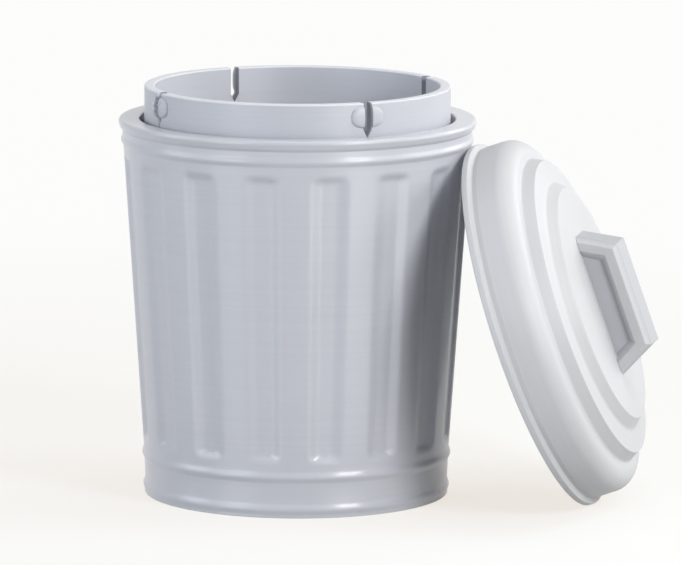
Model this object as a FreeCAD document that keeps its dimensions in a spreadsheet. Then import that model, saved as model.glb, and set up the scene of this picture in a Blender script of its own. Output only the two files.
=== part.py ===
import FreeCAD, Part
import os
import Sketcher

# Desktop trash can in the shape of a fluted galvanised bin, in millimetres.
# +Z is up and the origin is the middle of the can's base.
# The lid is off: it stands on its lip on the +X side and leans on the can with its mouth toward it.

Vector = FreeCAD.Vector
document = FreeCAD.newDocument("trash_can")
sheet = document.addObject("Spreadsheet::Sheet", "Sizes")

# Driving dimensions of the outer can. Its wall leans outward from the foot to the lip.
can_sizes = {
    "can_height": 106.5,
    "foot_radius": 43.2,
    "foot_height": 4.2,
    "foot_reach": 0.6,
    "band_height": 5.8,
    "band_lean": 0.3,
    "lower_bead_height": 4.0,
    "lower_bead_rise": 0.5,
    "bead_step": 0.2,
    "wall_spread": 5.83,
    "upper_bead_height": 3.6,
    "upper_bead_rise": 0.42,
    "bead_flat_share": 0.4,
    "neck_height": 1.7,
    "neck_reach": 0.22,
    "lip_height": 1.6,
    "lip_reach": 1.09,
    "lip_width": 5.88,
    "mouth_depth": 22.5,
    "can_wall": 3.5,
    "can_floor": 3.0,
    "edge_chamfer": 0.9,
}

# Flutes: shallow channels that run up the wall and die out in a round arch at both ends.
flute_sizes = {
    "flute_count": 16,
    "flute_depth": 1.2,
    "flute_low_margin": 9.3,
    "flute_top_margin": 9.5,
    "flute_tool_radius": 13.9,
    "flute_end_angle": 90,
}

# Inner pail. Its straight collar stands above the rim and carries the split snap bumps.
pail_sizes = {
    "collar_gap": 1.36,
    "ledge_gap": 1.0,
    "collar_wall": 3.0,
    "collar_stand": 9.2,
    "pail_floor_thickness": 2.4,
    "snap_count": 4,
    "snap_turn_angle": -51.6,
    "bump_margin": 0.8,
    "bump_height": 6.2,
    "bump_spread_angle": 13.1,
    "bump_rise": 1.0,
    "bump_bury": 0.3,
    "slot_width": 2.55,
    "slot_depth": 7.5,
    "slot_point_length": 2.24,
}

# Lid cover: lip, skirt, round shoulder and two steps up to the flat crown.
lid_sizes = {
    "snap_bore_gap": 0.4,
    "snap_groove_depth": 0.8,
    "lid_rim_width": 9.47,
    "lid_lip_height": 2.7,
    "lid_lip_reach": 1.37,
    "lid_lip_slope": 0.8,
    "lid_skirt_lean": 0.2,
    "lid_shoulder_height": 15.0,
    "lid_shoulder_round": 5.55,
    "lid_shoulder_low_angle": 30,
    "lid_shoulder_high_angle": 60,
    "lid_ledge_width": 2.15,
    "lid_step_rise": 2.86,
    "lid_step_run": 1.28,
    "lid_shelf_width": 7.72,
    "lid_shelf_rise": 0.74,
    "lid_crown_rise": 2.8,
    "lid_crown_run": 1.58,
    "lid_wall": 2.6,
    "lean_drop": 0.111,
    "lean_gap": 0.3,
    "least_lean_angle": 12,
}

# Solid grip on the lid: a trapezoid plate with chamfered sides and a blind recess in each face.
handle_sizes = {
    "handle_thickness": 14.0,
    "handle_height": 10.6,
    "handle_base_length": 41.0,
    "handle_end_run": 5.5,
    "handle_chamfer": 1.5,
    "recess_depth": 1.75,
    "recess_band": 4.2,
    "recess_top_margin": 1.95,
    "recess_low_margin": 1.5,
    "recess_overrun": 5.0,
    "recess_slope_angle": 38.7,
}

# Sizes that follow from the driving dimensions.
worked_out = {
    "lower_bead_bottom": "=foot_height + band_height",
    "lower_bead_top": "=lower_bead_bottom + lower_bead_height",
    "lip_bottom": "=can_height - lip_height",
    "upper_bead_top": "=lip_bottom - neck_height",
    "upper_bead_bottom": "=upper_bead_top - upper_bead_height",
    "ledge_height": "=can_height - mouth_depth",
    "band_low_radius": "=foot_radius - foot_reach",
    "band_top_radius": "=band_low_radius + band_lean",
    "wall_low_radius": "=band_top_radius + bead_step",
    "wall_top_radius": "=wall_low_radius + wall_spread",
    "neck_radius": "=wall_top_radius + neck_reach",
    "lip_radius": "=neck_radius + lip_reach",
    "mouth_bore_radius": "=lip_radius - lip_width",
    "low_bore_radius": "=band_low_radius - can_wall",
    "lower_bead_radius": "=(band_top_radius + wall_low_radius) / 2 + lower_bead_rise",
    "lower_bead_flat_bottom": "=lower_bead_bottom + lower_bead_height * (1 - bead_flat_share) / 2",
    "lower_bead_flat_top": "=lower_bead_top - lower_bead_height * (1 - bead_flat_share) / 2",
    "upper_bead_radius": "=(wall_top_radius + neck_radius) / 2 + upper_bead_rise",
    "upper_bead_flat_bottom": "=upper_bead_bottom + upper_bead_height * (1 - bead_flat_share) / 2",
    "upper_bead_flat_top": "=upper_bead_top - upper_bead_height * (1 - bead_flat_share) / 2",
    "wall_lean_angle": "=atan(wall_spread / (upper_bead_bottom - lower_bead_top)) / 1 deg",
    "flute_bottom": "=lower_bead_top + flute_low_margin",
    "flute_top": "=upper_bead_bottom - flute_top_margin",
    "flute_axis_offset": "=flute_tool_radius - flute_depth",
    "flute_reach": "=flute_axis_offset + flute_tool_radius",
    "flute_end_rise": "=flute_tool_radius * (1 - cos(flute_end_angle / 2 * 1 deg))",
    "flute_low_wall": "=wall_low_radius + flute_low_margin * tan(wall_lean_angle * 1 deg)",
    "flute_top_wall": "=wall_top_radius - flute_top_margin * tan(wall_lean_angle * 1 deg)",
    "flute_low_x": "=flute_low_wall + flute_reach * cos(wall_lean_angle * 1 deg)",
    "flute_low_z": "=flute_bottom - flute_reach * sin(wall_lean_angle * 1 deg)",
    "flute_top_x": "=flute_top_wall + flute_reach * cos(wall_lean_angle * 1 deg)",
    "flute_top_z": "=flute_top - flute_reach * sin(wall_lean_angle * 1 deg)",
    "flute_axis_low_x": "=flute_low_wall + flute_axis_offset * cos(wall_lean_angle * 1 deg)"
                        " - flute_tool_radius * sin(wall_lean_angle * 1 deg)",
    "flute_axis_low_z": "=flute_bottom - flute_axis_offset * sin(wall_lean_angle * 1 deg)"
                        " - flute_tool_radius * cos(wall_lean_angle * 1 deg)",
    "flute_axis_top_x": "=flute_top_wall + flute_axis_offset * cos(wall_lean_angle * 1 deg)"
                        " + flute_tool_radius * sin(wall_lean_angle * 1 deg)",
    "flute_axis_top_z": "=flute_top - flute_axis_offset * sin(wall_lean_angle * 1 deg)"
                        " + flute_tool_radius * cos(wall_lean_angle * 1 deg)",
    "collar_radius": "=mouth_bore_radius - collar_gap",
    "collar_inner_radius": "=collar_radius - collar_wall",
    "collar_top": "=can_height + collar_stand",
    "pail_radius": "=low_bore_radius - collar_gap",
    "pail_inner_radius": "=pail_radius - collar_wall",
    "pail_floor_top": "=can_floor + pail_floor_thickness",
    "collar_bottom": "=ledge_height + ledge_gap",
    "pail_ledge": "=collar_bottom + collar_wall",
    "bump_high": "=collar_top - bump_margin",
    "bump_low": "=bump_high - bump_height",
    "bump_root_radius": "=collar_radius - bump_bury",
    "bump_bulge": "=bump_rise + bump_bury",
    "slot_half": "=slot_width / 2",
    "slot_over": "=collar_top + slot_width",
    "slot_shoulder": "=collar_top - slot_depth",
    "slot_tip": "=slot_shoulder - slot_point_length",
    "snap_bore_radius": "=collar_radius + snap_bore_gap",
    "snap_groove_radius": "=snap_bore_radius + snap_groove_depth",
    "snap_groove_high": "=collar_stand - bump_margin",
    "snap_groove_middle": "=snap_groove_high - bump_height / 2",
    "snap_groove_low": "=snap_groove_high - bump_height",
    "lid_lip_radius": "=snap_bore_radius + lid_rim_width",
    "lid_neck_radius": "=lid_lip_radius - lid_lip_reach",
    "lid_neck_height": "=lid_lip_height + lid_lip_slope",
    "lid_skirt_radius": "=lid_neck_radius - lid_skirt_lean",
    "lid_skirt_top": "=lid_shoulder_height - lid_shoulder_round",
    "lid_shoulder_radius": "=lid_skirt_radius - lid_shoulder_round",
    "lid_shoulder_low_radius": "=lid_shoulder_radius"
                               " + lid_shoulder_round * cos(lid_shoulder_low_angle * 1 deg)",
    "lid_shoulder_low_height": "=lid_skirt_top"
                               " + lid_shoulder_round * sin(lid_shoulder_low_angle * 1 deg)",
    "lid_shoulder_high_radius": "=lid_shoulder_radius"
                                " + lid_shoulder_round * cos(lid_shoulder_high_angle * 1 deg)",
    "lid_shoulder_high_height": "=lid_skirt_top"
                                " + lid_shoulder_round * sin(lid_shoulder_high_angle * 1 deg)",
    "lid_step_root_radius": "=lid_shoulder_radius - lid_ledge_width",
    "lid_step_radius": "=lid_step_root_radius - lid_step_run",
    "lid_step_height": "=lid_shoulder_height + lid_step_rise",
    "lid_shelf_radius": "=lid_step_radius - lid_shelf_width",
    "lid_shelf_height": "=lid_step_height + lid_shelf_rise",
    "lid_crown_radius": "=lid_shelf_radius - lid_crown_run",
    "lid_crown_height": "=lid_shelf_height + lid_crown_rise",
    "lid_roof": "=lid_shoulder_height - lid_wall",
    "lid_shelf_roof": "=lid_step_height - lid_wall",
    "lid_step_inside": "=lid_step_radius - lid_wall",
    "lid_step_root_inside": "=lid_step_root_radius - lid_wall",
    "lean_height": "=min(upper_bead_bottom - lean_drop; 2 * lid_lip_radius * cos(least_lean_angle * 1 deg))",
    "lean_angle": "=acos(lean_height / (2 * lid_lip_radius)) / 1 deg",
    "lean_radius": "=wall_low_radius + (lean_height - lower_bead_top) * tan(wall_lean_angle * 1 deg)",
    "lid_height": "=lean_height / 2",
    "lid_reach": "=lean_radius + lean_gap + lid_lip_radius * sin(lean_angle * 1 deg)",
    "lid_turn_angle": "=90 - lean_angle",
    "handle_base_half": "=handle_base_length / 2",
    "handle_top_half": "=handle_base_half - handle_end_run",
    "handle_top": "=lid_crown_height + handle_height",
    "handle_side": "=handle_thickness / 2",
    "recess_top_half": "=handle_top_half - recess_top_margin",
    "recess_low_half": "=handle_base_half - recess_low_margin",
    "recess_top": "=handle_top - recess_band",
    "recess_low": "=lid_crown_height - recess_overrun",
}


def fill_sheet(groups):
    """Writes every size into the sheet, one row each, with its name as alias."""
    row = 0
    for group in groups:
        for name, size in group.items():
            row += 1
            sheet.set(f"A{row}", name)
            sheet.set(f"B{row}", str(size))
            sheet.setAlias(f"B{row}", name)
    document.recompute()


fill_sheet([can_sizes, flute_sizes, pail_sizes, lid_sizes, handle_sizes, worked_out])


def size(name):
    """The number in the sheet under this name; no name stands for zero."""
    if not name:
        return 0.0
    if name.startswith("-"):
        return -float(sheet.get(name[1:]))
    return float(sheet.get(name))


def cell(name):
    """The name as it is written in an expression."""
    if not name:
        return "0"
    if name.startswith("-"):
        return f"(-Sizes.{name[1:]})"
    return f"Sizes.{name}"


def origin_item(body, role):
    """One of the body's own origin planes or axes."""
    return [item for item in body.Origin.OriginFeatures if item.Role == role][0]


def new_body(label):
    body = document.addObject("PartDesign::Body", label)
    body.Label = label
    return body


def tie_corner(sketch, side, vertex, across, up):
    """Holds one corner at the sheet's distances from the sketch's origin."""
    for kind, axis, name in (("DistanceX", -2, across), ("DistanceY", -1, up)):
        if not name:
            sketch.addConstraint(Sketcher.Constraint("PointOnObject", side, vertex, axis))
        elif name.startswith("-"):
            tie = Sketcher.Constraint(kind, side, vertex, -1, 1, size(name[1:]))
            sketch.setExpression(f"Constraints[{sketch.addConstraint(tie)}]", cell(name[1:]))
        else:
            tie = Sketcher.Constraint(kind, -1, 1, side, vertex, size(name))
            sketch.setExpression(f"Constraints[{sketch.addConstraint(tie)}]", cell(name))


def bulge_radius(corner, last):
    """Radius of the arc between two corners that rises by the corner's bulge."""
    rise = cell(corner[2])
    chord = f"(({cell(corner[0])} - {cell(last[0])})^2 + ({cell(corner[1])} - {cell(last[1])})^2)"
    return f"{chord} / 8 / {rise} + {rise} / 2"


def last_of(side, corners):
    """The number of the corner before this one, round the loop."""
    return side - 1 if side else len(corners) - 1


def outline(body, name, role, corners):
    """Closed outline that runs anticlockwise. Each corner names its distance across, its height and,
    where the side that ends there is an arc, the rise of the arc: outward, or inward with a minus."""
    sketch = body.newObject("Sketcher::SketchObject", name)
    sketch.AttachmentSupport = [(origin_item(body, role), "")]
    sketch.MapMode = "FlatFace"
    places = [Vector(size(corner[0]), size(corner[1]), 0) for corner in corners]
    ends = []
    for side, corner in enumerate(corners):
        start, end = places[side - 1], places[side]
        if len(corner) == 3:
            outward = Vector(end.y - start.y, start.x - end.x, 0).normalize()
            middle = (start + end) / 2 + outward * size(corner[2])
            sketch.addGeometry(Part.Arc(start, middle, end))
        else:
            sketch.addGeometry(Part.LineSegment(start, end))
        first_is_start = sketch.getPoint(side, 1).distanceToPoint(start) < \
            sketch.getPoint(side, 2).distanceToPoint(start)
        ends.append((1, 2) if first_is_start else (2, 1))
    for side, corner in enumerate(corners):
        last = last_of(side, corners)
        join = Sketcher.Constraint("Coincident", last, ends[last][1], side, ends[side][0])
        sketch.addConstraint(join)
    for side, corner in enumerate(corners):
        tie_corner(sketch, side, ends[side][1], corner[0], corner[1])
        if len(corner) == 3:
            plain = (corner[0], corner[1], corner[2].lstrip("-"))
            radius = sketch.Geometry[side].Radius
            tie = sketch.addConstraint(Sketcher.Constraint("Radius", side, radius))
            sketch.setExpression(f"Constraints[{tie}]", bulge_radius(plain, corners[last_of(side, corners)]))
    document.recompute()
    return sketch


def turned(body, name, sketch):
    """Full turn of a sketch about the body's upright axis."""
    feature = body.newObject("PartDesign::Revolution", name)
    feature.Profile = sketch
    feature.ReferenceAxis = (sketch, ["V_Axis"])
    feature.Angle = 360
    document.recompute()
    return feature


def ring_of(body, name, feature, count):
    """Repeats a feature evenly round the body's upright axis."""
    pattern = body.newObject("PartDesign::PolarPattern", name)
    pattern.Originals = [feature]
    pattern.Axis = (origin_item(body, "Z_Axis"), [""])
    pattern.Angle = 360
    pattern.setExpression("Occurrences", cell(count))
    body.Tip = pattern
    document.recompute()
    return pattern


def chamfered(body, name, width, chosen):
    """Chamfers the edges of the body that the test chooses."""
    base = body.Tip
    edges = [f"Edge{number}" for number, edge in enumerate(base.Shape.Edges, 1) if chosen(edge)]
    if not edges:
        raise RuntimeError(f"{name}: no edges chosen")
    feature = body.newObject("PartDesign::Chamfer", name)
    feature.Base = (base, edges)
    feature.setExpression("Size", cell(width))
    document.recompute()
    return feature


# An edge is taken as lying at a place when it is nearer than this share of the chamfer on it.
near_share = 0.1


def hoop(radius, height):
    """Test for the round edge of this radius at this height."""
    def chosen(edge):
        box = edge.BoundBox
        near = abs(box.XMax - size(radius)) + abs(box.ZMin - size(height)) + abs(box.ZMax - size(height))
        return near < size("edge_chamfer") * near_share
    return chosen


def outer_can():
    """Outer can: a tapered wall with a foot, two beads and a lip, bored straight at the mouth."""
    body = new_body("outer_can")
    corners = [
        ("", ""),
        ("foot_radius", ""),
        ("foot_radius", "foot_height"),
        ("band_low_radius", "foot_height"),
        ("band_top_radius", "lower_bead_bottom"),
        ("lower_bead_radius", "lower_bead_flat_bottom"),
        ("lower_bead_radius", "lower_bead_flat_top"),
        ("wall_low_radius", "lower_bead_top"),
        ("wall_top_radius", "upper_bead_bottom"),
        ("upper_bead_radius", "upper_bead_flat_bottom"),
        ("upper_bead_radius", "upper_bead_flat_top"),
        ("neck_radius", "upper_bead_top"),
        ("lip_radius", "lip_bottom"),
        ("lip_radius", "can_height"),
        ("mouth_bore_radius", "can_height"),
        ("mouth_bore_radius", "ledge_height"),
        ("low_bore_radius", "ledge_height"),
        ("low_bore_radius", "can_floor"),
        ("", "can_floor"),
    ]
    turned(body, "CanWall", outline(body, "CanOutline", "XZ_Plane", corners))
    chamfered(body, "FootChamfer", "edge_chamfer", hoop("foot_radius", ""))
    chamfered(body, "LipChamfer", "edge_chamfer", hoop("lip_radius", "can_height"))
    flutes(body)
    return body


def flutes(body):
    """Channels cut by a round-ended spindle that lies along the slanted wall."""
    before = body.Tip.Shape.Volume
    corners = [
        ("flute_axis_low_x", "flute_axis_low_z"),
        ("flute_low_x", "flute_low_z", "flute_end_rise"),
        ("flute_top_x", "flute_top_z"),
        ("flute_axis_top_x", "flute_axis_top_z", "flute_end_rise"),
    ]
    groove = body.newObject("PartDesign::Groove", "Flute")
    groove.Profile = outline(body, "FluteOutline", "XZ_Plane", corners)
    groove.ReferenceAxis = (groove.Profile[0], ["Edge1"])
    groove.Angle = 360
    document.recompute()
    if not groove.Shape.Volume < before:
        raise RuntimeError("the flute cuts nothing")
    ring_of(body, "Flutes", groove, "flute_count")


def inner_pail():
    """Inner pail: stands on the can's floor and follows its bore, with a straight collar on top."""
    body = new_body("inner_pail")
    corners = [
        ("", "can_floor"),
        ("pail_radius", "can_floor"),
        ("pail_radius", "collar_bottom"),
        ("collar_radius", "collar_bottom"),
        ("collar_radius", "collar_top"),
        ("collar_inner_radius", "collar_top"),
        ("collar_inner_radius", "pail_ledge"),
        ("pail_inner_radius", "pail_ledge"),
        ("pail_inner_radius", "pail_floor_top"),
        ("", "pail_floor_top"),
    ]
    turned(body, "PailWall", outline(body, "PailOutline", "XZ_Plane", corners))
    snap_bumps(body)
    body.setExpression("Placement.Rotation.Angle", cell("snap_turn_angle"))
    return body


def snap_bumps(body):
    """Four rounded bumps on the collar, each split by a slot so that the collar can give."""
    corners = [
        ("bump_root_radius", "bump_low"),
        ("bump_root_radius", "bump_high", "bump_bulge"),
    ]
    bump = body.newObject("PartDesign::Revolution", "Bump")
    bump.Profile = outline(body, "BumpOutline", "XZ_Plane", corners)
    bump.ReferenceAxis = (bump.Profile[0], ["V_Axis"])
    bump.setExpression("Angle", cell("bump_spread_angle"))
    bump.Midplane = True
    document.recompute()
    ring_of(body, "Bumps", bump, "snap_count")
    before = body.Tip.Shape.Volume
    corners = [
        ("", "slot_tip"),
        ("slot_half", "slot_shoulder"),
        ("slot_half", "slot_over"),
        ("-slot_half", "slot_over"),
        ("-slot_half", "slot_shoulder"),
    ]
    slot = body.newObject("PartDesign::Pocket", "Slot")
    slot.Profile = outline(body, "SlotOutline", "YZ_Plane", corners)
    slot.Type = "ThroughAll"
    slot.Reversed = True
    document.recompute()
    if not slot.Shape.Volume < before:
        raise RuntimeError("the slot cuts nothing")
    ring_of(body, "Slots", slot, "snap_count")


def place_on_lid(body):
    """Stands the lid on its lip, leaning back on the can, with its mouth toward the can."""
    body.Placement.Rotation.Axis = Vector(0, 1, 0)
    body.setExpression("Placement.Rotation.Angle", cell("lid_turn_angle"))
    body.setExpression("Placement.Base.x", cell("lid_reach"))
    body.setExpression("Placement.Base.z", cell("lid_height"))


def lid_cover():
    """Lid cover: a stepped round shell whose thick rim is bored to clip over the collar's bumps."""
    body = new_body("lid_cover")
    corners = [
        ("snap_bore_radius", ""),
        ("lid_lip_radius", ""),
        ("lid_lip_radius", "lid_lip_height"),
        ("lid_neck_radius", "lid_neck_height"),
        ("lid_skirt_radius", "lid_skirt_top"),
        ("lid_shoulder_low_radius", "lid_shoulder_low_height"),
        ("lid_shoulder_high_radius", "lid_shoulder_high_height"),
        ("lid_shoulder_radius", "lid_shoulder_height"),
        ("lid_step_root_radius", "lid_shoulder_height"),
        ("lid_step_radius", "lid_step_height"),
        ("lid_shelf_radius", "lid_shelf_height"),
        ("lid_crown_radius", "lid_crown_height"),
        ("", "lid_crown_height"),
        ("", "lid_shelf_roof"),
        ("lid_step_inside", "lid_shelf_roof"),
        ("lid_step_root_inside", "lid_roof"),
        ("snap_bore_radius", "lid_roof"),
        ("snap_bore_radius", "snap_groove_high"),
        ("snap_groove_radius", "snap_groove_middle"),
        ("snap_bore_radius", "snap_groove_low"),
    ]
    turned(body, "LidShell", outline(body, "LidOutline", "XZ_Plane", corners))
    place_on_lid(body)
    return body


def lid_handle():
    """Grip that stands on the crown: trapezoid side, chamfered all round, hollowed on both faces."""
    body = new_body("lid_handle")
    corners = [
        ("-handle_base_half", "lid_crown_height"),
        ("handle_base_half", "lid_crown_height"),
        ("handle_top_half", "handle_top"),
        ("-handle_top_half", "handle_top"),
    ]
    plate = body.newObject("PartDesign::Pad", "Plate")
    plate.Profile = outline(body, "PlateOutline", "XZ_Plane", corners)
    plate.setExpression("Length", cell("handle_thickness"))
    plate.Midplane = True
    document.recompute()

    def side_edge(edge):
        box = edge.BoundBox
        on_face = box.YMax - box.YMin < size("handle_chamfer") * near_share
        on_crown = box.ZMax < size("lid_crown_height") + size("handle_chamfer") * near_share
        return on_face and not on_crown

    chamfered(body, "SideChamfers", "handle_chamfer", side_edge)
    for name, turn in (("Front", 1), ("Back", -1)):
        recess(body, name, turn)
    place_on_lid(body)
    return body


def recess(body, name, turn):
    """Blind hollow with sloping sides in one face of the grip, open toward the lid."""
    before = body.Tip.Shape.Volume
    corners = [
        ("-recess_low_half", "recess_low"),
        ("recess_low_half", "recess_low"),
        ("recess_top_half", "recess_top"),
        ("-recess_top_half", "recess_top"),
    ]
    sketch = outline(body, f"{name}RecessOutline", "XZ_Plane", corners)
    side = cell("handle_side") if turn > 0 else f"-{cell('handle_side')}"
    sketch.setExpression("AttachmentOffset.Base.z", side)
    pocket = body.newObject("PartDesign::Pocket", f"{name}Recess")
    pocket.Profile = sketch
    pocket.setExpression("Length", cell("recess_depth"))
    pocket.setExpression("TaperAngle", f"-{cell('recess_slope_angle')}")
    pocket.Reversed = turn < 0
    document.recompute()
    if not pocket.Shape.Volume < before:
        raise RuntimeError("the recess cuts nothing")


bodies = [outer_can(), inner_pail(), lid_cover(), lid_handle()]
document.recompute()

# Nothing is written unless every object of the document is sound.
for item in document.Objects:
    if "Invalid" in item.State or "Error" in item.State:
        raise RuntimeError(f"{item.Label} did not build: {item.State}")
for body in bodies:
    if body.Shape.isNull() or not body.Shape.isValid():
        raise RuntimeError(f"{body.Label} has no sound solid")

os.makedirs("parts", exist_ok=True)
for body in bodies:
    body.Shape.exportStep(os.path.join("parts", f"{body.Label}.step"))
    print(body.Label, round(body.Shape.Volume), body.Shape.BoundBox)
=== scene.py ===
from math import copysign, cos, hypot, pi, radians, sin, tan

import bmesh
import bpy
from mathutils import Matrix, Vector


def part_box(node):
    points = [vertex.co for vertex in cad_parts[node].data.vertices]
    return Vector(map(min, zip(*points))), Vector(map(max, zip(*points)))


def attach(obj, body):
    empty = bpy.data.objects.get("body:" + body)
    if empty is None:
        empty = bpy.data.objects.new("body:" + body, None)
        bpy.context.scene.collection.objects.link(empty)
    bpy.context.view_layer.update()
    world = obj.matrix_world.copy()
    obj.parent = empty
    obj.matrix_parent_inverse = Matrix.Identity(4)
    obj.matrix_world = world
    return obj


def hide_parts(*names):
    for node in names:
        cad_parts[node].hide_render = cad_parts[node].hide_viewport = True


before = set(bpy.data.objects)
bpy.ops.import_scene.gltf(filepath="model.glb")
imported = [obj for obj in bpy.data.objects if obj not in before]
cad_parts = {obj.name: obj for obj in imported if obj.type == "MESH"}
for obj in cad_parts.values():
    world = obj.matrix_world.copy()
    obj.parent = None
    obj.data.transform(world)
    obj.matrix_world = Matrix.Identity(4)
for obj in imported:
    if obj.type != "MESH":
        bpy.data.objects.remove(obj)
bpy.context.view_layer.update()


# Outer can. One print in light cool-grey plastic: a wall that leans outward, with a foot, a bead at
# each end of the flutes, a neck and a rounded lip. The sixteen flutes are shallow channels that die
# out at both ends. All sizes are in metres, and a bead is given by its two heights.
can_top_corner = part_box("outer_can")[1]
lip_radius = can_top_corner.x
can_height = can_top_corner.z
sole_radius = 0.0428
foot_bead = (0.0006, 0.0042)
band_low_radius = 0.0427
band_top_radius = 0.0429
lower_bead = (0.0096, 0.0133)
upper_bead = (0.0988, 0.1020)
foot_bead_rise = 0.00045
band_bead_rise = 0.00056
wall_low_radius = 0.04308
wall_top_radius = 0.04887
neck_radius = 0.04914
neck_height = 0.10335
lip_waist_radius = 0.0498
lip_waist_height = 0.1041
lip_bottom = 0.10535
mouth_bore_radius = 0.04436
low_bore_radius = 0.0391
ledge_height = 0.0840
can_floor = 0.0030
flute_count = 16
flute_depth = 0.0012
flute_bottom = 0.0183
flute_top = 0.0934
flute_pitch = 2 * pi / flute_count
flute_end_shortness = 2
flute_squareness = 4
flute_flat_angle = radians(2.2)
flute_edge_angle = radians(7.0)
columns_per_flute = 28
wall_rows = 110
touching = 1e-7


def soften(corners, steps=6):
    """The outline with every corner (radius, height, rounding) turned into a short arc."""
    line = []
    for index, (radius, height, rounding) in enumerate(corners):
        corner = Vector((radius, height))
        if not rounding:
            line.append(corner)
            continue
        back = (Vector(corners[index - 1][:2]) - corner).normalized()
        on = (Vector(corners[index + 1][:2]) - corner).normalized()
        half = back.angle(on) / 2
        centre = corner + (back + on).normalized() * rounding / sin(half)
        start = corner + back * rounding / tan(half) - centre
        end = corner + on * rounding / tan(half) - centre
        swing = start.angle_signed(end)
        for step in range(steps + 1):
            line.append(centre + Matrix.Rotation(-swing * step / steps, 2) @ start)
    return line


def bead(bottom, top, low_radius, top_radius, rise, steps=14):
    """Corners of a bead that swells softly by its rise between two heights."""
    line = []
    for step in range(steps + 1):
        share = step / steps
        swell = rise * (1 - cos(2 * pi * share)) / 2
        radius = low_radius + (top_radius - low_radius) * share + swell
        line.append((radius, bottom + (top - bottom) * share, 0))
    return line


def put(name, form, place=Matrix.Identity(4)):
    """A bmesh made an object, set in its place by a matrix."""
    bmesh.ops.recalc_face_normals(form, faces=form.faces)
    form.transform(place)
    mesh = bpy.data.meshes.new(name)
    form.to_mesh(mesh)
    form.free()
    piece = bpy.data.objects.new(name, mesh)
    bpy.context.scene.collection.objects.link(piece)
    return piece


def turned(name, line, columns, sectors=16):
    """A closed solid of revolution from an outline that starts and ends on the upright axis.
    One sector is turned first and then repeated round the axis."""
    form = bmesh.new()
    points = [form.verts.new((point[0], 0, point[1])) for point in line]
    sides = [form.edges.new(pair) for pair in zip(points, points[1:])]
    sector = 2 * pi / sectors
    bmesh.ops.spin(form, geom=points + sides, cent=(0, 0, 0), axis=(0, 0, 1), angle=sector,
                   steps=columns // sectors)
    bmesh.ops.spin(form, geom=form.verts[:] + form.edges[:] + form.faces[:], cent=(0, 0, 0),
                   axis=(0, 0, 1), angle=2 * pi - sector, steps=sectors - 1, use_duplicate=True)
    bmesh.ops.remove_doubles(form, verts=form.verts, dist=touching)
    return put(name, form)


def smooth(piece, crease=35):
    """Smooth shading that stays crisp at edges sharper than the crease angle."""
    for face in piece.data.polygons:
        face.use_smooth = True
    piece.data.set_sharp_from_angle(angle=radians(crease))


def wall_radius(height):
    """How far the leaning wall stands from the axis at a height, between the flutes."""
    lean = (wall_top_radius - wall_low_radius) / (upper_bead[0] - lower_bead[1])
    return wall_low_radius + (height - lower_bead[1]) * lean


# The outline's corners, each with its radius, its height and its rounding.
can_corners = [(0, 0, 0), (sole_radius, 0, 0.0002)]
can_corners += bead(*foot_bead, sole_radius, band_low_radius, foot_bead_rise)
can_corners += bead(*lower_bead, band_top_radius, wall_low_radius, band_bead_rise)
for row in range(1, wall_rows):
    height = lower_bead[1] + (upper_bead[0] - lower_bead[1]) * row / wall_rows
    can_corners.append((wall_radius(height), height, 0))
can_corners += bead(*upper_bead, wall_top_radius, neck_radius, band_bead_rise)
can_corners += [
    (neck_radius, neck_height, 0.0003),
    (lip_waist_radius, lip_waist_height, 0.0007),
    (lip_radius, lip_bottom, 0.0010),
    (lip_radius, can_height, 0.0009),
    (mouth_bore_radius, can_height, 0.0005),
    (mouth_bore_radius, ledge_height, 0),
    (low_bore_radius, ledge_height, 0),
    (low_bore_radius, can_floor, 0.0008),
    (0, can_floor, 0),
]
can = turned("can_shell", soften(can_corners), flute_count * columns_per_flute)


def fade(value, near, far):
    """One up to the near value, falling smoothly to zero at the far one."""
    share = min(max((value - near) / (far - near), 0), 1)
    return 1 - share * share * (3 - 2 * share)


# The flutes are pressed into the wall's outer side.
for vertex in can.data.vertices:
    x, y, z = vertex.co
    radius = hypot(x, y)
    if not lower_bead[1] < z < upper_bead[0] or radius < wall_radius(z) - flute_depth / 2:
        continue
    turn = Vector((x, y)).angle_signed(Vector((1, 0)))
    across = (turn + flute_pitch / 2) % flute_pitch - flute_pitch / 2
    beyond = flute_end_shortness * max(flute_bottom - z, z - flute_top, 0) / radius
    off = (abs(across) ** flute_squareness + beyond ** flute_squareness) ** (1 / flute_squareness)
    sink = flute_depth * fade(off, flute_flat_angle, flute_edge_angle)
    vertex.co.x *= 1 - sink / radius
    vertex.co.y *= 1 - sink / radius
smooth(can)
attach(can, "can")
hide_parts("outer_can")

layer_height = 0.0002
ridge_depth = 0.00003
band_stretch = (14, 14, 1500)
band_shades = (0.955, 1.035)
bands_in_relief = 0.6
roughness_spread = 0.04
coat_roughness = 0.16
plastic_shine = 0.6


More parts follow.
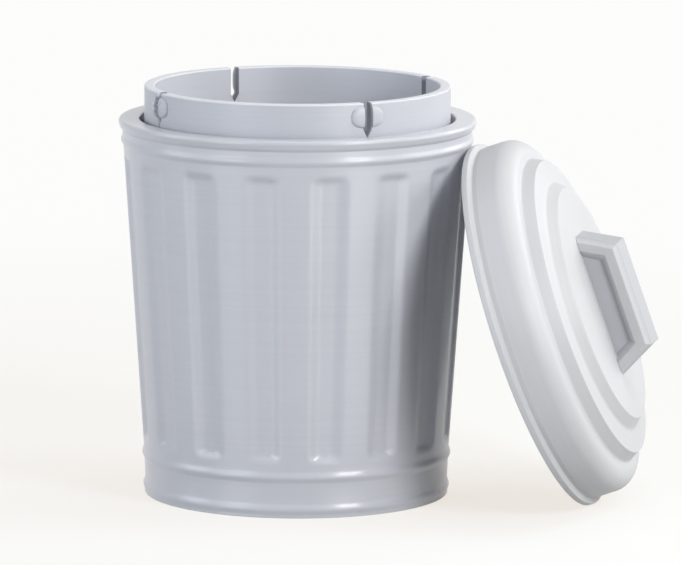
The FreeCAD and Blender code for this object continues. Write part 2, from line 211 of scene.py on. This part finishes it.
def layer_lines():
    """Node group: the fine ridges of a print's layers, laid up along the position's Z, and the
    faint bands where a few layers came out darker or duller."""
    group = bpy.data.node_groups.new("layer_lines", "ShaderNodeTree")
    group.interface.new_socket("Position", in_out="INPUT", socket_type="NodeSocketVector")
    group.interface.new_socket("Layer Height", in_out="INPUT", socket_type="NodeSocketFloat")
    group.interface.new_socket("Ridges", in_out="OUTPUT", socket_type="NodeSocketFloat")
    group.interface.new_socket("Bands", in_out="OUTPUT", socket_type="NodeSocketFloat")
    nodes, links = group.nodes, group.links
    start = nodes.new("NodeGroupInput")
    end = nodes.new("NodeGroupOutput")
    split = nodes.new("ShaderNodeSeparateXYZ")
    links.new(start.outputs["Position"], split.inputs["Vector"])
    count = nodes.new("ShaderNodeMath")
    count.operation = "DIVIDE"
    links.new(split.outputs["Z"], count.inputs[0])
    links.new(start.outputs["Layer Height"], count.inputs[1])
    wave = nodes.new("ShaderNodeMath")
    wave.operation = "MULTIPLY"
    wave.inputs[1].default_value = pi
    links.new(count.outputs[0], wave.inputs[0])
    ridge = nodes.new("ShaderNodeMath")
    ridge.operation = "SINE"
    links.new(wave.outputs[0], ridge.inputs[0])
    size = nodes.new("ShaderNodeMath")
    size.operation = "ABSOLUTE"
    links.new(ridge.outputs[0], size.inputs[0])
    links.new(size.outputs[0], end.inputs["Ridges"])
    stretch = nodes.new("ShaderNodeMapping")
    stretch.inputs["Scale"].default_value = band_stretch
    links.new(start.outputs["Position"], stretch.inputs["Vector"])
    bands = nodes.new("ShaderNodeTexNoise")
    bands.inputs["Scale"].default_value = 1
    bands.inputs["Detail"].default_value = 3
    links.new(stretch.outputs["Vector"], bands.inputs["Vector"])
    links.new(bands.outputs["Fac"], end.inputs["Bands"])
    return group


def printed_plastic(name, colour, roughness, relief_share, sheen, lean=0, seat=(0, 0, 0)):
    """Satin printed plastic. Its layers lie square to an axis that leans from upright toward +X and
    are counted from the seat."""
    material = bpy.data.materials.new(name)
    material.use_nodes = True
    nodes, links = material.node_tree.nodes, material.node_tree.links
    surface = nodes["Principled BSDF"]
    surface.inputs["Specular IOR Level"].default_value = plastic_shine
    surface.inputs["Coat Weight"].default_value = sheen
    surface.inputs["Coat Roughness"].default_value = coat_roughness
    place = nodes.new("ShaderNodeTexCoord")
    turn = nodes.new("ShaderNodeMapping")
    turn.vector_type = "TEXTURE"
    turn.inputs["Location"].default_value = seat
    turn.inputs["Rotation"].default_value = (0, lean, 0)
    links.new(place.outputs["Object"], turn.inputs["Vector"])
    lines = nodes.new("ShaderNodeGroup")
    lines.node_tree = bpy.data.node_groups.get("layer_lines") or layer_lines()
    lines.inputs["Layer Height"].default_value = layer_height
    links.new(turn.outputs["Vector"], lines.inputs["Position"])
    tint = nodes.new("ShaderNodeMix")
    tint.data_type = "RGBA"
    for end, shade in zip("AB", band_shades):
        tint.inputs[end].default_value = (*[part * shade for part in colour], 1)
    links.new(lines.outputs["Bands"], tint.inputs["Factor"])
    links.new(tint.outputs["Result"], surface.inputs["Base Color"])
    gloss = nodes.new("ShaderNodeMapRange")
    gloss.inputs["To Min"].default_value = roughness - roughness_spread
    gloss.inputs["To Max"].default_value = roughness + roughness_spread
    links.new(lines.outputs["Bands"], gloss.inputs["Value"])
    links.new(gloss.outputs["Result"], surface.inputs["Roughness"])
    relief = nodes.new("ShaderNodeMath")
    relief.operation = "MULTIPLY_ADD"
    relief.inputs[1].default_value = bands_in_relief
    links.new(lines.outputs["Bands"], relief.inputs[0])
    links.new(lines.outputs["Ridges"], relief.inputs[2])
    bump = nodes.new("ShaderNodeBump")
    bump.inputs["Strength"].default_value = relief_share
    bump.inputs["Distance"].default_value = ridge_depth
    links.new(relief.outputs[0], bump.inputs["Height"])
    links.new(bump.outputs["Normal"], surface.inputs["Normal"])
    return material


can_grey = (0.560, 0.580, 0.632)
can_print = printed_plastic("can_print", can_grey, roughness=0.33, relief_share=0.8, sheen=0.4)
can.data.materials.append(can_print)


# Inner pail. A separate print in the same plastic, a shade darker, that stands on the can's floor.
# Its straight collar comes up through the rim and carries four rounded snap bumps, each split by a
# slot so that the collar can give.
pail_gap = 0.00136
pail_columns = 368
collar_radius = mouth_bore_radius - pail_gap
collar_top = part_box("inner_pail")[1].z
collar_bottom = ledge_height + 0.0010
pail_radius = low_bore_radius - pail_gap
pail_wall = 0.0030
pail_floor = can_floor + 0.0024
snap_turn = radians(-51.6)
bump_low, bump_high = 0.1087, 0.1149
bump_half_width = 0.0049
bump_rise = 0.0010
bump_root = 0.0004
bump_fullness = 0.76
slot_half = 0.001275
slot_shoulder = 0.1082
slot_tip = 0.10596

pail_corners = [
    (0, can_floor, 0),
    (pail_radius, can_floor, 0.0006),
    (pail_radius, collar_bottom, 0),
    (collar_radius, collar_bottom, 0.0004),
    (collar_radius, collar_top, 0.0004),
    (collar_radius - pail_wall, collar_top, 0.0004),
    (collar_radius - pail_wall, collar_bottom + pail_wall, 0.0004),
    (pail_radius - pail_wall, collar_bottom + pail_wall, 0.0004),
    (pail_radius - pail_wall, pail_floor, 0.0010),
    (0, pail_floor, 0),
]
pail = turned("pail_shell", soften(pail_corners), pail_columns)


def carve(piece, tools, operation):
    """Joins the tools to the piece or cuts them out of it, for good."""
    for tool in tools:
        step = piece.modifiers.new(tool.name, "BOOLEAN")
        step.operation = operation
        step.solver = "EXACT"
        step.object = tool
    depsgraph = bpy.context.evaluated_depsgraph_get()
    finished = bpy.data.meshes.new_from_object(piece.evaluated_get(depsgraph))
    piece.modifiers.clear()
    piece.data = finished
    for tool in tools:
        bpy.data.objects.remove(tool)


def snap_bump(turn):
    """A squarish swelling at this turn round the collar, with its root inside the wall."""
    form = bmesh.new()
    bmesh.ops.create_uvsphere(form, u_segments=96, v_segments=64, radius=1)
    for vertex in form.verts:
        vertex.co = [copysign(abs(part) ** bump_fullness, part) for part in vertex.co]
    reaches = (bump_rise + bump_root, bump_half_width, (bump_high - bump_low) / 2)
    bmesh.ops.scale(form, vec=reaches, verts=form.verts)
    middle = Vector((collar_radius - bump_root, 0, (bump_low + bump_high) / 2))
    return put("bump", form, Matrix.Rotation(turn, 4, "Z") @ Matrix.Translation(middle))


def slot_cutter(turn):
    """Fills the slot at this turn, from its pointed tip up past the collar's top."""
    form = bmesh.new()
    inside = collar_radius - pail_wall * 2
    over = collar_top + pail_wall
    corners = [(0, slot_tip), (slot_half, slot_shoulder), (slot_half, over),
               (-slot_half, over), (-slot_half, slot_shoulder)]
    points = [form.verts.new((inside, across, height)) for across, height in corners]
    face = form.faces.new(points)
    pushed = bmesh.ops.extrude_face_region(form, geom=[face])["geom"]
    moved = [item for item in pushed if isinstance(item, bmesh.types.BMVert)]
    bmesh.ops.translate(form, vec=(pail_wall * 4, 0, 0), verts=moved)
    return put("slot", form, Matrix.Rotation(turn, 4, "Z"))


snap_turns = [snap_turn + quarter * pi / 2 for quarter in range(4)]
carve(pail, [snap_bump(turn) for turn in snap_turns], "UNION")
carve(pail, [slot_cutter(turn) for turn in snap_turns], "DIFFERENCE")
smooth(pail, crease=30)
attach(pail, "pail")
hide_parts("inner_pail")
pail.data.materials.clear()
pail_grey = (0.530, 0.550, 0.602)
pail_print = printed_plastic("pail_print", pail_grey, roughness=0.44, relief_share=0.6, sheen=0.1)
pail.data.materials.append(pail_print)


def recolour(material, mask, colour):
    """Turns the plastic to another colour where the mask is one."""
    nodes, links = material.node_tree.nodes, material.node_tree.links
    base = nodes["Principled BSDF"].inputs["Base Color"]
    under = base.links[0].from_socket
    change = nodes.new("ShaderNodeMix")
    change.data_type = "RGBA"
    change.inputs["B"].default_value = (*colour, 1)
    links.new(under, change.inputs["A"])
    links.new(mask, change.inputs["Factor"])
    links.new(change.outputs["Result"], base)


def ramp(material, value, near, far):
    """A value turned into a mask that rises from zero to one between two limits."""
    nodes, links = material.node_tree.nodes, material.node_tree.links
    step = nodes.new("ShaderNodeMapRange")
    step.inputs["From Min"].default_value = near
    step.inputs["From Max"].default_value = far
    links.new(value, step.inputs["Value"])
    return step.outputs["Result"]


def combine(material, operation, first, second):
    """Two values worked into one by the named operation."""
    nodes, links = material.node_tree.nodes, material.node_tree.links
    step = nodes.new("ShaderNodeMath")
    step.operation = operation
    links.new(first, step.inputs[0])
    links.new(second, step.inputs[1])
    return step.outputs[0]


# The collar's top edge is painted paler, a painted highlight. One bump printed rough and has
# flecks.
rough_bump_place = (-0.0345, -0.0273, 0.1120)
rough_bump_reach = 0.0042
fleck_size = 0.0008
collar_highlight_depth = 0.0005
collar_highlight_grey = (0.70, 0.72, 0.77)
pale_fleck_grey = (0.72, 0.74, 0.78)
dark_fleck_grey = (0.42, 0.44, 0.50)
pail_nodes, pail_links = pail_print.node_tree.nodes, pail_print.node_tree.links
pail_place = pail_nodes.new("ShaderNodeTexCoord").outputs["Object"]
pail_split = pail_nodes.new("ShaderNodeSeparateXYZ")
pail_links.new(pail_place, pail_split.inputs["Vector"])
pail_height = pail_split.outputs["Z"]
collar_highlight = ramp(pail_print, pail_height, collar_top - collar_highlight_depth, collar_top - collar_highlight_depth / 2)
recolour(pail_print, collar_highlight, collar_highlight_grey)
rough_way = pail_nodes.new("ShaderNodeVectorMath")
rough_way.operation = "DISTANCE"
rough_way.inputs[1].default_value = rough_bump_place
pail_links.new(pail_place, rough_way.inputs[0])
rough_area = ramp(pail_print, rough_way.outputs["Value"], rough_bump_reach, rough_bump_reach / 3)
flecks = pail_nodes.new("ShaderNodeTexNoise")
flecks.inputs["Scale"].default_value = 1 / fleck_size
flecks.inputs["Detail"].default_value = 1
pail_links.new(pail_place, flecks.inputs["Vector"])
pale_flecks = ramp(pail_print, flecks.outputs["Fac"], 0.50, 0.60)
dark_flecks = ramp(pail_print, flecks.outputs["Fac"], 0.48, 0.38)
recolour(pail_print, combine(pail_print, "MULTIPLY", rough_area, pale_flecks), pale_fleck_grey)
recolour(pail_print, combine(pail_print, "MULTIPLY", rough_area, dark_flecks), dark_fleck_grey)

# The slots' sides get painted shade: they are painted darker deeper in, but for their outer edge.
# The mask reaches a hair past each side and narrows toward the tip as the slots do.
slot_side_reach = 0.00006
slot_shade_start_radius = collar_radius - pail_wall * 0.15
slot_shade_full_radius = collar_radius - pail_wall * 0.45
slot_shade_grey = (0.24, 0.26, 0.31)
slot_way = pail_nodes.new("ShaderNodeMapping")
slot_way.vector_type = "TEXTURE"
slot_way.inputs["Rotation"].default_value = (0, 0, snap_turn)
pail_links.new(pail_place, slot_way.inputs["Vector"])
slot_turned = pail_nodes.new("ShaderNodeVectorMath")
slot_turned.operation = "ABSOLUTE"
pail_links.new(slot_way.outputs["Vector"], slot_turned.inputs[0])
slot_split = pail_nodes.new("ShaderNodeSeparateXYZ")
pail_links.new(slot_turned.outputs["Vector"], slot_split.inputs["Vector"])
slot_across = combine(pail_print, "MINIMUM", slot_split.outputs["X"], slot_split.outputs["Y"])
slot_radius = combine(pail_print, "MAXIMUM", slot_split.outputs["X"], slot_split.outputs["Y"])
half_here = pail_nodes.new("ShaderNodeMapRange")
half_here.inputs["From Min"].default_value = slot_tip
half_here.inputs["From Max"].default_value = slot_shoulder
half_here.inputs["To Max"].default_value = slot_half
pail_links.new(pail_height, half_here.inputs["Value"])
past_side = combine(pail_print, "SUBTRACT", slot_across, half_here.outputs["Result"])
slot_side = ramp(pail_print, past_side, slot_side_reach * 2, slot_side_reach)
above_tip = ramp(pail_print, pail_height, slot_tip, slot_tip + slot_side_reach)
deep_in = ramp(pail_print, slot_radius, slot_shade_start_radius, slot_shade_full_radius)
slot_shade = combine(pail_print, "MULTIPLY", slot_side, above_tip)
slot_shade = combine(pail_print, "MULTIPLY", slot_shade, deep_in)
recolour(pail_print, slot_shade, slot_shade_grey)


# Lid cover. A stepped round print in the same plastic: lip, skirt, a round shoulder and two steps
# up to the crown. Its bore clips over the pail's collar. Here it is off the can, stands on its lip
# and leans back on the can's wall with its mouth toward it.
lid_lip_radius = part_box("lid_cover")[1].y
lean = radians(19.8)
lean_reach = 0.04923
lid_seat = Vector((lean_reach + lid_lip_radius * sin(lean), 0, lid_lip_radius * cos(lean)))
lid_place = Matrix.Translation(lid_seat) @ Matrix.Rotation(pi / 2 - lean, 4, "Y")
lid_clearance = 0.0004
lid_bore_radius = collar_radius + lid_clearance
lid_columns = 400
lid_corners = [
    (0, 0.01526, 0),
    (0.03972, 0.01526, 0.0005),
    (0.04100, 0.01240, 0.0005),
    (lid_bore_radius, 0.01240, 0.0003),
    (lid_bore_radius, 0.00840, 0),
    (lid_bore_radius + 0.0008, 0.00530, 0.0006),
    (lid_bore_radius, 0.00220, 0),
    (lid_bore_radius, 0, 0.0003),
    (lid_lip_radius, 0, 0.0004),
    (lid_lip_radius, 0.0018, 0.0004),
    (0.05112, 0.0025, 0.0004),
    (0.05142, 0.0040, 0.0010),
    (0.05130, 0.0150, 0.0055),
    (0.04445, 0.0143, 0.0009),
    (0.04280, 0.01786, 0.00018),
    (0.03620, 0.01850, 0.0016),
    (0.03370, 0.02125, 0.00018),
    (0.02400, 0.02140, 0),
    (0, 0.02140, 0),
]
cover = turned("lid_shell", soften(lid_corners, steps=10), lid_columns)
cover.data.transform(lid_place)
smooth(cover)
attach(cover, "lid")
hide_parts("lid_cover")
lid_grey = (0.575, 0.587, 0.610)
lid_print = printed_plastic("lid_print", lid_grey, roughness=0.5, relief_share=0.5, sheen=0,
                            lean=pi / 2 - lean, seat=lid_seat)
cover.data.materials.append(lid_print)

# The grip's recesses are painted a little darker, as painted shade.
grip_start = 0.0216
grip_start_blend = 0.0002
recess_shade_near = 0.0053
recess_shade_far = 0.0064
recess_shade_grey = (0.455, 0.470, 0.500)
lid_nodes, lid_links = lid_print.node_tree.nodes, lid_print.node_tree.links
lid_split = lid_nodes.new("ShaderNodeSeparateXYZ")
lid_links.new(lid_nodes["Mapping"].outputs["Vector"], lid_split.inputs["Vector"])
sideways = lid_nodes.new("ShaderNodeMath")
sideways.operation = "ABSOLUTE"
lid_links.new(lid_split.outputs["Y"], sideways.inputs[0])
recess_shade_mask = ramp(lid_print, sideways.outputs[0], recess_shade_far, recess_shade_near)
on_grip = ramp(lid_print, lid_split.outputs["Z"], grip_start, grip_start + grip_start_blend)
recolour(lid_print, combine(lid_print, "MULTIPLY", recess_shade_mask, on_grip), recess_shade_grey)


# Lid handle. A solid trapezoid grip in the lid's own plastic, fixed upright on its crown, with wide
# chamfers along both faces and a blind recess in each face that runs out at the lid.
crown_height = 0.0214
handle_half = 0.0070
handle_top = crown_height + 0.0106
handle_base_half = 0.0205
handle_top_half = 0.0150
handle_chamfer = 0.0015
recess_depth = 0.00175
recess_narrowing = 0.0014
recess_height = 0.0064
recess_top_half = 0.01305
recess_low_half = 0.0190
recess_overrun = 0.0050
cutter_overrun = 0.0005
handle_edge_round = 0.00018
handle_crease = 20


def trapezoid(base, base_half, top, top_half):
    """Corners (along, height) of a trapezoid that stands on its base."""
    return [(-base_half, base), (base_half, base), (top_half, top), (-top_half, top)]


def wedge(name, near, near_side, far, far_side):
    """A closed block between two outlines that lie square to the handle's width."""
    form = bmesh.new()
    rings = []
    for corners, side in ((near, near_side), (far, far_side)):
        points = [form.verts.new((along, side, height)) for along, height in corners]
        rings.append([form.edges.new(pair) for pair in zip(points, points[1:] + points[:1])])
        form.faces.new(points)
    bmesh.ops.bridge_loops(form, edges=rings[0] + rings[1])
    return put(name, form)


plate = trapezoid(crown_height, handle_base_half, handle_top, handle_top_half)
handle = wedge("lid_grip", plate, -handle_half, plate, handle_half)
block = bmesh.new()
block.from_mesh(handle.data)
chamfered = [edge for edge in block.edges
             if abs(edge.verts[0].co.y - edge.verts[1].co.y) < touching
             and max(vert.co.z for vert in edge.verts) > crown_height + touching]
bmesh.ops.bevel(block, geom=chamfered, offset=handle_chamfer, offset_type="OFFSET", affect="EDGES",
                segments=1, profile=0.5, material=-1)
block.to_mesh(handle.data)
block.free()


def recess_cutter(way):
    """Fills the recess in one face. It narrows as it goes in, starts just clear of the face and
    runs on below the crown."""
    low = crown_height - recess_overrun
    high = crown_height + recess_height
    out = cutter_overrun * recess_narrowing / recess_depth
    mouth = trapezoid(low, recess_low_half + out, high + out, recess_top_half + out)
    foot = trapezoid(low, recess_low_half - recess_narrowing,
                     high - recess_narrowing, recess_top_half - recess_narrowing)
    return wedge("recess", mouth, way * (handle_half + cutter_overrun),
                 foot, way * (handle_half - recess_depth))


carve(handle, [recess_cutter(1), recess_cutter(-1)], "DIFFERENCE")
edge_round = handle.modifiers.new("edge_round", "BEVEL")
edge_round.width = handle_edge_round
edge_round.segments = 2
edge_round.limit_method = "ANGLE"
edge_round.angle_limit = radians(handle_crease)
handle.data.transform(lid_place)
smooth(handle, handle_crease)
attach(handle, "lid")
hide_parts("lid_handle")
handle.data.materials.clear()
handle.data.materials.append(lid_print)


# Floor. Pale paper that runs far back. It bounces light as paper does, and the camera sees it
# washed out, as in an overexposed studio, and plain white from a little way off.
paper_size = 9
near_reach = 0.14
far_reach = 0.55
paper_bounce = (0.50, 0.495, 0.49)
shown_near = (0.16, 0.22, 0.26)
shown_far = (0, 0, 0)
wash_near = (0.79, 0.73, 0.67)
wash_far = (0.94, 0.94, 0.935)
bpy.ops.mesh.primitive_plane_add(size=paper_size, location=(0, 0, 0))
floor = bpy.context.object
floor.name = "floor"
paper = bpy.data.materials.new("paper")
paper.use_nodes = True
paper_nodes, paper_links = paper.node_tree.nodes, paper.node_tree.links
paper_surface = paper_nodes["Principled BSDF"]
paper_surface.inputs["Roughness"].default_value = 0.8
paper_surface.inputs["Specular IOR Level"].default_value = 0.1
paper_place = paper_nodes.new("ShaderNodeTexCoord")
paper_path = paper_nodes.new("ShaderNodeLightPath")
paper_seen = paper_nodes.new("ShaderNodeMath")
paper_seen.operation = "MAXIMUM"
paper_links.new(paper_path.outputs["Is Camera Ray"], paper_seen.inputs[0])
paper_links.new(paper_path.outputs["Is Glossy Ray"], paper_seen.inputs[1])
way_off = paper_nodes.new("ShaderNodeVectorMath")
way_off.operation = "LENGTH"
paper_links.new(paper_place.outputs["Object"], way_off.inputs[0])
far = paper_nodes.new("ShaderNodeMapRange")
far.interpolation_type = "SMOOTHSTEP"
far.inputs["From Min"].default_value = near_reach
far.inputs["From Max"].default_value = far_reach
paper_links.new(way_off.outputs["Value"], far.inputs["Value"])
near_paper = paper_nodes.new("ShaderNodeMix")
near_paper.data_type = "RGBA"
near_paper.inputs["A"].default_value = (*paper_bounce, 1)
near_paper.inputs["B"].default_value = (*shown_near, 1)
paper_links.new(paper_seen.outputs[0], near_paper.inputs["Factor"])
far_seen = paper_nodes.new("ShaderNodeMath")
far_seen.operation = "MULTIPLY"
paper_links.new(far.outputs["Result"], far_seen.inputs[0])
paper_links.new(paper_seen.outputs[0], far_seen.inputs[1])
far_paper = paper_nodes.new("ShaderNodeMix")
far_paper.data_type = "RGBA"
far_paper.inputs["B"].default_value = (*shown_far, 1)
paper_links.new(near_paper.outputs["Result"], far_paper.inputs["A"])
paper_links.new(far_seen.outputs[0], far_paper.inputs["Factor"])
paper_links.new(far_paper.outputs["Result"], paper_surface.inputs["Base Color"])
wash = paper_nodes.new("ShaderNodeMix")
wash.data_type = "RGBA"
wash.inputs["A"].default_value = (*wash_near, 1)
wash.inputs["B"].default_value = (*wash_far, 1)
paper_links.new(far.outputs["Result"], wash.inputs["Factor"])
paper_links.new(wash.outputs["Result"], paper_surface.inputs["Emission Color"])
paper_links.new(paper_seen.outputs[0], paper_surface.inputs["Emission Strength"])
floor.data.materials.append(paper)


# Lamps. Soft boxes on a dome round the can, each set by its compass turn and its height angle. The
# walls of the studio add a trace of light and are seen as plain white.
walls_light = 0.02
walls_shown = 0.96
can_middle = Vector((0.02, 0, 0.06))
lamp_way = 1.0
neutral = (1.0, 0.995, 0.98)
cool = (0.955, 0.985, 1.05)
world = bpy.data.worlds.new("studio")
bpy.context.scene.world = world
world.use_nodes = True
sky_nodes, sky_links = world.node_tree.nodes, world.node_tree.links
sky = sky_nodes["Background"]
sky.inputs["Color"].default_value = (1, 1, 1, 1)
sky_path = sky_nodes.new("ShaderNodeLightPath")
sky_seen = sky_nodes.new("ShaderNodeMath")
sky_seen.operation = "MAXIMUM"
sky_links.new(sky_path.outputs["Is Camera Ray"], sky_seen.inputs[0])
sky_links.new(sky_path.outputs["Is Glossy Ray"], sky_seen.inputs[1])
sky_level = sky_nodes.new("ShaderNodeMapRange")
sky_level.inputs["To Min"].default_value = walls_light
sky_level.inputs["To Max"].default_value = walls_shown
sky_links.new(sky_seen.outputs[0], sky_level.inputs["Value"])
sky_links.new(sky_level.outputs["Result"], sky.inputs["Strength"])


def softbox(name, turn, rise, size, power, tint):
    """A square lamp of this width and power, in metres and watts, that shines on the can from a
    compass turn and a height angle in degrees."""
    lamp = bpy.data.lights.new(name, "AREA")
    lamp.shape = "SQUARE"
    lamp.size = size
    lamp.energy = power
    lamp.color = tint
    turn, rise = radians(turn), radians(rise)
    toward = Vector((cos(rise) * cos(turn), cos(rise) * sin(turn), sin(rise)))
    stand = bpy.data.objects.new(name, lamp)
    stand.location = can_middle + toward * lamp_way
    stand.rotation_euler = toward.to_track_quat("Z", "Y").to_euler()
    bpy.context.scene.collection.objects.link(stand)


softbox("key", -38, 25, 0.30, 6.3, neutral)
softbox("left_front", -122, 12, 0.38, 2.9, cool)
softbox("left_side", -162, 14, 0.38, 1.8, cool)
softbox("left_high", -172, 40, 0.38, 0.9, cool)
softbox("right_side", 11, 20, 0.38, 2.0, neutral)
softbox("right_high", 11, 60, 0.38, 2.0, neutral)
softbox("right_back", 48, 22, 0.38, 2.4, neutral)
softbox("top", 90, 80, 0.38, 1.8, neutral)


# Camera. A long lens, rolled by a hair, that looks at the can's front from a little above its rim,
# so that the rim shows as a narrow ellipse.
camera_stand = (0.4056, -1.9584, 0.3802)
camera_lens = 379.4
camera_turn = radians(101.345)
camera_dip = 0.1590
camera_roll = 0.0047
ahead = Vector((cos(camera_turn) * cos(camera_dip), sin(camera_turn) * cos(camera_dip),
                -sin(camera_dip)))
level = ahead.cross(Vector((0, 0, 1))).normalized()
upright = level.cross(ahead)
right = level * cos(camera_roll) + upright * sin(camera_roll)
up = upright * cos(camera_roll) - level * sin(camera_roll)
lens = bpy.data.cameras.new("camera")
lens.sensor_width = 36
lens.lens = camera_lens
lens.clip_end = 20
camera = bpy.data.objects.new("camera", lens)
camera_axes = Matrix((right, up, -ahead)).transposed().to_4x4()
camera.matrix_world = Matrix.Translation(camera_stand) @ camera_axes
bpy.context.scene.collection.objects.link(camera)
bpy.context.scene.camera = camera
bpy.context.scene.view_settings.view_transform = "Standard"
